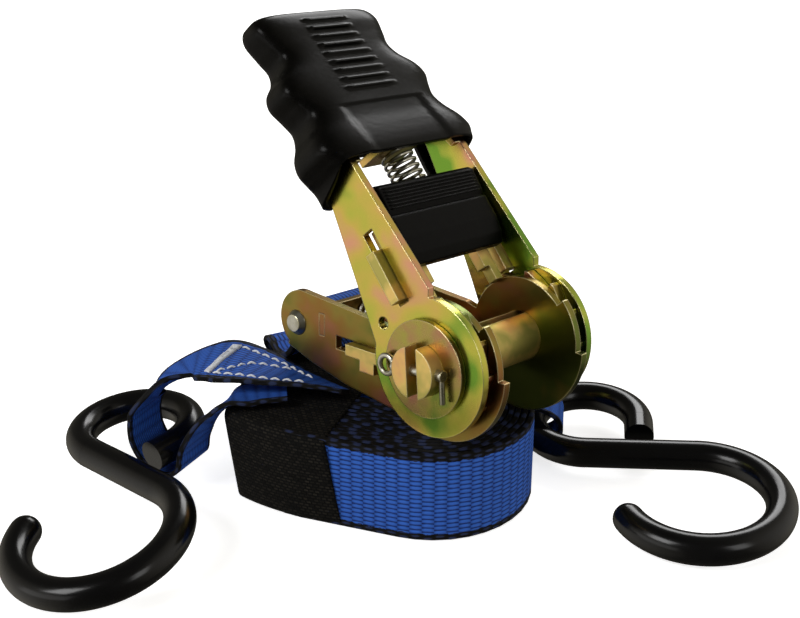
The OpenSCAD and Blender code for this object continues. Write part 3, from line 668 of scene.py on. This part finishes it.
grip = {
    "start": 47, "length": 100, "half": 27.4, "valley": 22.6, "topHalf": 21.6, "wall": 1.6,  # mm
    "ribs": 9, "ribTop": 95.9, "ribLow": 73.1, "ribHalf": (7.5, 8.5), "ribHigh": 0.7, "ribWide": 1.5,
    "ribFlank": 0.45, "ribEnd": 0.7, "face": 0.6,  # ribs and step only where the front is nearly flat
    "step": 68.5, "stepHalf": 15.0, "stepDeep": 0.55, "stepFlank": 0.5, "stepEnd": 2.0,
    "rim": 18, "rimBack": -7.5,  # degrees and mm, slant of the open end
    "windowHalf": 19.2, "windowEnd": 60.0, "windowDeep": -2.9,  # mm, opening where the base folds in
    "sides": 168, "steps": 17,
}


def gripRoute():
    low, w, v, top, end = (grip[key] for key in ("start", "half", "valley", "topHalf", "length"))
    return [
        [low - 1, w - 3.4, 12.2, 0.5, -7, 6], [51, w - 3.2, 12.4, 0.9, -7, 6],
        [54, w - 1.6, 12.2, 1.2, -7, 5.4], [57, w, 11.6, 1.4, -6.8, 5],
        [60.5, w - 0.8, 10.7, 1, -6.6, 5], [64.5, v + 1.2, 9.6, 0.6, -6.5, 5],
        [68.2, v, 8.8, 0.3, -6.5, 5], [71.8, v + 1.2, 8.1, 0.1, -6.6, 5],
        [75.8, w - 1.8, 7.4, -0.2, -6.6, 5], [79.4, w - 3, 6.8, -0.5, -6.8, 5],
        [83, top - 1, 6.2, -1, -7, 5], [86.6, top - 2.4, 5.6, -1.5, -7.1, 5],
        [90.6, top - 1.2, 5, -1.9, -7.2, 5], [end - 4.4, top, 4.3, -2.4, -7.4, 5],
        [end - 1.2, top - 1, 3.2, -2.8, -7, 4.4], [end, top - 3.2, 1.4, -2.9, -6.2, 4],
    ]  # height, half width, front, middle and back in mm, and how square the corners are


def easeStep(t):
    t = min(1.0, max(0.0, t))
    return t * t * (3 - 2 * t)


def gripRelief(h, y):
    lift = 0.0
    pitch = (grip["ribTop"] - grip["ribLow"]) / (grip["ribs"] - 1)
    k = round((grip["ribTop"] - h) / pitch)
    if 0 <= k < grip["ribs"]:
        high, low = grip["ribHalf"]
        reach = high + (low - high) * k / (grip["ribs"] - 1)
        away = abs(h - (grip["ribTop"] - k * pitch))
        flank = easeStep((grip["ribWide"] / 2 - away) / grip["ribFlank"])
        lift += grip["ribHigh"] * flank * easeStep((reach - abs(y)) / grip["ribEnd"])
    below = easeStep((grip["step"] - h) / grip["stepFlank"])
    return lift - grip["stepDeep"] * below * easeStep((grip["stepHalf"] - abs(y)) / grip["stepEnd"])


def gripRings(bm):
    rings = []
    for h, half, front, mid, back, power in smoothRun(gripRoute(), grip["steps"]):
        ring = []
        for k in range(grip["sides"]):
            a = 2 * math.pi * (k + 0.5) / grip["sides"]
            c, s = math.cos(a), math.sin(a)
            reach = (abs(c) ** power + abs(s) ** power) ** (1 / power)  # a circle pushed out to a rounded box
            y, rise = half * c / reach, s / reach
            f = mid + (front - mid if s > 0 else mid - back) * rise
            if rise > grip["face"]:
                f += gripRelief(h, y)
            ring.append(bm.verts.new(Vector(handleStart + np.array((h, y, f)) @ handleAxes) * mm))
        rings.append(ring)
    return rings


def cutGrip(bm, geom, place, aim, clear=False):
    bmesh.ops.bisect_plane(bm, geom=geom, dist=1e-6, plane_co=Vector(onHandle(*place)) * mm,
                           plane_no=Vector(onHandle(*aim) - handleStart), clear_inner=clear)


def makeGrip():
    bm = bmesh.new()
    rings = gripRings(bm)
    for one, two in zip(rings, rings[1:]):
        for k in range(grip["sides"]):
            j = (k + 1) % grip["sides"]
            bm.faces.new([one[k], one[j], two[j], two[k]]).smooth = True
    bm.faces.new(rings[-1])
    bmesh.ops.recalc_face_normals(bm, faces=bm.faces[:])
    rim = math.radians(grip["rim"])
    cutGrip(bm, bm.verts[:] + bm.edges[:] + bm.faces[:], (grip["start"], 0, grip["rimBack"]),
            (math.cos(rim), 0, -math.sin(rim)), clear=True)
    half, end = grip["windowHalf"], grip["windowEnd"]
    for place, aim in (((0, -half, 0), (0, 1, 0)), ((0, half, 0), (0, 1, 0)), ((end, 0, 0), (1, 0, 0))):
        back = [f for f in bm.faces if offHandle(f.calc_center_median())[2] < 0]
        edges = dict.fromkeys(e for f in back for e in f.edges)
        corners = dict.fromkeys(v for f in back for v in f.verts)
        cutGrip(bm, back + list(edges) + list(corners), place, aim)
    window = []
    for face in bm.faces:
        h, y, f = offHandle(face.calc_center_median())
        if h < end and abs(y) < half and f < grip["windowDeep"]:
            window.append(face)
    bmesh.ops.delete(bm, geom=window, context="FACES")
    piece = pieceFrom(bm, "rubberGrip", looks["rubber"], sharp=55)
    shell = piece.modifiers.new("wall", "SOLIDIFY")
    shell.thickness = grip["wall"] * mm
    shell.offset = -1.0
    return piece


gripPiece = makeGrip()
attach(gripPiece, "handle")
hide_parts("handle_grip")
print("grip made")


# ribs on the upper face of the release pull

pullRibs = {
    "from": 38.2, "to": 43.6, "count": 7, "half": 16.9, "front": (9.3, 9.7), "radius": 0.28,  # mm
    "points": 30, "endDip": 0.25, "endLong": 0.4,  # the ends sink into the pull
}


def makePullRibs():
    bm = bmesh.new()
    half, (low, high) = pullRibs["half"], pullRibs["front"]
    for k in range(pullRibs["count"]):
        t = k / (pullRibs["count"] - 1)
        h = pullRibs["from"] + (pullRibs["to"] - pullRibs["from"]) * t
        f = low + (high - low) * t
        line = []
        for y in np.linspace(-half, half, pullRibs["points"]):
            dip = pullRibs["endDip"] if abs(y) > half - pullRibs["endLong"] else 0.0
            line.append(onHandle(h, y, f - dip))
        threadTube(bm, np.array(line), pullRibs["radius"])
    return pieceFrom(bm, "pullRibs", looks["plastic"])


ribs = makePullRibs()
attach(ribs, "handle_pawl_set")
print("pull ribs made")


# springs behind the two pawls, made at rest; on the real buckle they flatten as the pawls are drawn back

springs = {
    "wire": 0.9, "radius": 4.0, "steps": 20, "sides": 10, "lean": (0.2, 0.9, 0.1),  # mm, and steps round a turn
    "handleSpring": {
        "node": "handle_pawl_spring", "body": "handle", "joint": "release_slide", "turns": 5, "keep": 0.47,
        "start": onHandle(54.5, 0, 4), "end": onHandle(45.7, 0, 4), "held": onHandle(55, 0, 4)},
    "baseSpring": {
        "node": "base_pawl_spring", "body": "ratchet", "joint": "base_pawl_slide", "turns": 4, "keep": 0.43,
        "start": onBuckle((-40.5, 0, 0)), "end": onBuckle((-32.5, 0, 0)), "held": onBuckle((-41, 0, 0))},
}


def makeSpring(name, spec):
    run = Vector(spec["end"] - spec["start"])
    along = run.normalized()
    side = along.cross(Vector(springs["lean"])).normalized()
    up = along.cross(side)
    steps = spec["turns"] * springs["steps"]
    bm = bmesh.new()
    bmesh.ops.create_circle(bm, cap_ends=True, segments=springs["sides"], radius=springs["wire"] / 2 * mm)
    bmesh.ops.translate(bm, verts=bm.verts, vec=(0, springs["radius"] * mm, 0))
    bmesh.ops.spin(bm, geom=bm.verts[:] + bm.edges[:] + bm.faces[:], cent=(0, 0, 0), axis=(1, 0, 0),
                   dvec=(run.length * mm / steps, 0, 0), angle=2 * math.pi * spec["turns"], steps=steps)
    toPlace = Matrix((along, side, up)).transposed().to_4x4()
    toPlace.translation = Vector(spec["start"]) * mm
    bmesh.ops.transform(bm, matrix=toPlace, verts=bm.verts)
    bmesh.ops.recalc_face_normals(bm, faces=bm.faces[:])
    for face in bm.faces:
        face.smooth = len(face.verts) == 4  # the two cut ends stay flat
    piece = pieceFrom(bm, name, looks["brightZinc"])
    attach(piece, spec["body"])
    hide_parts(spec["node"])
    tuple(Vector(spec["held"]) * mm)
    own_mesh(piece)
    print(name, round(run.length, 1), "mm long at rest")


for springName in ("handleSpring", "baseSpring"):
    makeSpring(springName, springs[springName])


# camera, floor and light

view = {
    "azimuth": 19.5, "elevation": 25.0, "distance": 363.74, "target": (13.1, 0.0, 51.27),  # degrees and mm
    "focal": 1407.0, "photoWide": 800, "sensor": 36.0,  # focal length in pixels of the photograph
}
floorLook = {"colour": "#f4f4f4", "glow": 0.75, "half": 3.0, "drop": 0.0003}  # m; it glows for the camera alone
studio = {
    "cards": ((-0.87, -0.41, -0.2), (0.87, 0.41, 0.3)),  # where the pale cards stand, as shiny pieces see them
    "stops": [(0.45, "#4a4842"), (0.75, "#66635a"), (0.9, "#c8c2b4"), (1.0, "#fffaf0")],
    "lamps": (
        ("keyLeft", (-0.5, -0.7, 0.75), (0, 0, 0.04), (0.45, 0.45), 6),
        ("frontLow", (-0.55, -0.75, 0.14), (0.02, 0, 0.05), (0.9, 0.35), 1.0),
        ("fillRight", (0.75, -0.45, 0.55), (0.02, 0, 0.04), (0.3, 0.5), 1.6),
        ("topBack", (-0.05, 0.85, 0.62), (0.02, 0, 0.05), (0.5, 0.35), 4),
    ),  # name, place, aim and size in m, and watts
}
white = (1, 1, 1, 1)


def makeCamera():
    a, e = math.radians(view["azimuth"]), math.radians(view["elevation"])
    back = Vector((math.sin(a) * math.cos(e), -math.cos(a) * math.cos(e), math.sin(e)))
    data = bpy.data.cameras.new("photoCamera")
    data.sensor_fit = "HORIZONTAL"
    data.sensor_width = view["sensor"]
    data.lens = view["focal"] * view["sensor"] / view["photoWide"]
    data.clip_start, data.clip_end = 0.01, 20.0
    camera = bpy.data.objects.new("photoCamera", data)
    camera.location = (Vector(view["target"]) + back * view["distance"]) * mm
    camera.rotation_mode = "QUATERNION"
    camera.rotation_quaternion = (-back).to_track_quat("-Z", "Y")
    bpy.context.scene.collection.objects.link(camera)
    bpy.context.scene.camera = camera


def makeFloor():
    # painted board: pale and flat, so that only the shadows show on it
    material, shader = newMaterial("paleFloor", {
        "Base Color": linearColour(floorLook["colour"]), "Roughness": 0.9, "Specular IOR Level": 0.0,
        "Emission Color": white})
    path = addNode(material, "ShaderNodeLightPath")
    glow = addNode(material, "ShaderNodeMath", {"operation": "MULTIPLY"},
                   {0: path.outputs["Is Camera Ray"], 1: floorLook["glow"]})
    setInputs(material, shader, {"Emission Strength": glow.outputs[0]})
    bm = bmesh.new()
    bmesh.ops.create_grid(bm, x_segments=1, y_segments=1, size=floorLook["half"])
    floor = pieceFrom(bm, "floor", material)
    floor.location = (0, 0, -floorLook["drop"])
    floor.visible_glossy = False


def makeLight(name, place, aim, size, power):
    data = bpy.data.lights.new(name, "AREA")
    data.shape = "RECTANGLE"
    data.size, data.size_y = size
    data.energy = power
    light = bpy.data.objects.new(name, data)
    light.location = Vector(place)
    light.rotation_mode = "QUATERNION"
    light.rotation_quaternion = (Vector(aim) - Vector(place)).to_track_quat("-Z", "Y")
    bpy.context.scene.collection.objects.link(light)


def makeWorld():
    world = bpy.data.worlds.new("studio")
    world.use_nodes = True
    bpy.context.scene.world = world
    sky = addNode(world, "ShaderNodeTexCoord").outputs["Generated"]
    cards = []
    for aim in studio["cards"]:
        dot = addNode(world, "ShaderNodeVectorMath", {"operation": "DOT_PRODUCT"},
                      {0: sky, 1: Vector(aim).normalized()})
        cards.append(dot.outputs["Value"])
    nearest = addNode(world, "ShaderNodeMath", {"operation": "MAXIMUM"}, {0: cards[0], 1: cards[1]})
    share = addNode(world, "ShaderNodeMath", {"operation": "MULTIPLY_ADD"},
                    {0: nearest.outputs[0], 1: 0.5, 2: 0.5})
    room = addNode(world, "ShaderNodeValToRGB", {"stops": studio["stops"]}, {"Fac": share.outputs[0]})
    path = addNode(world, "ShaderNodeLightPath")
    mix = addNode(world, "ShaderNodeMix", {"data_type": "RGBA"},
                  {0: path.outputs["Is Camera Ray"], 6: room.outputs["Color"], 7: white})
    setInputs(world, world.node_tree.nodes["Background"], {"Color": mix.outputs[2], "Strength": 1.0})


makeCamera()
makeFloor()
makeWorld()
for lamp in studio["lamps"]:
    makeLight(*lamp)
bpy.context.scene.view_settings.view_transform = "Standard"
print("camera and light set")
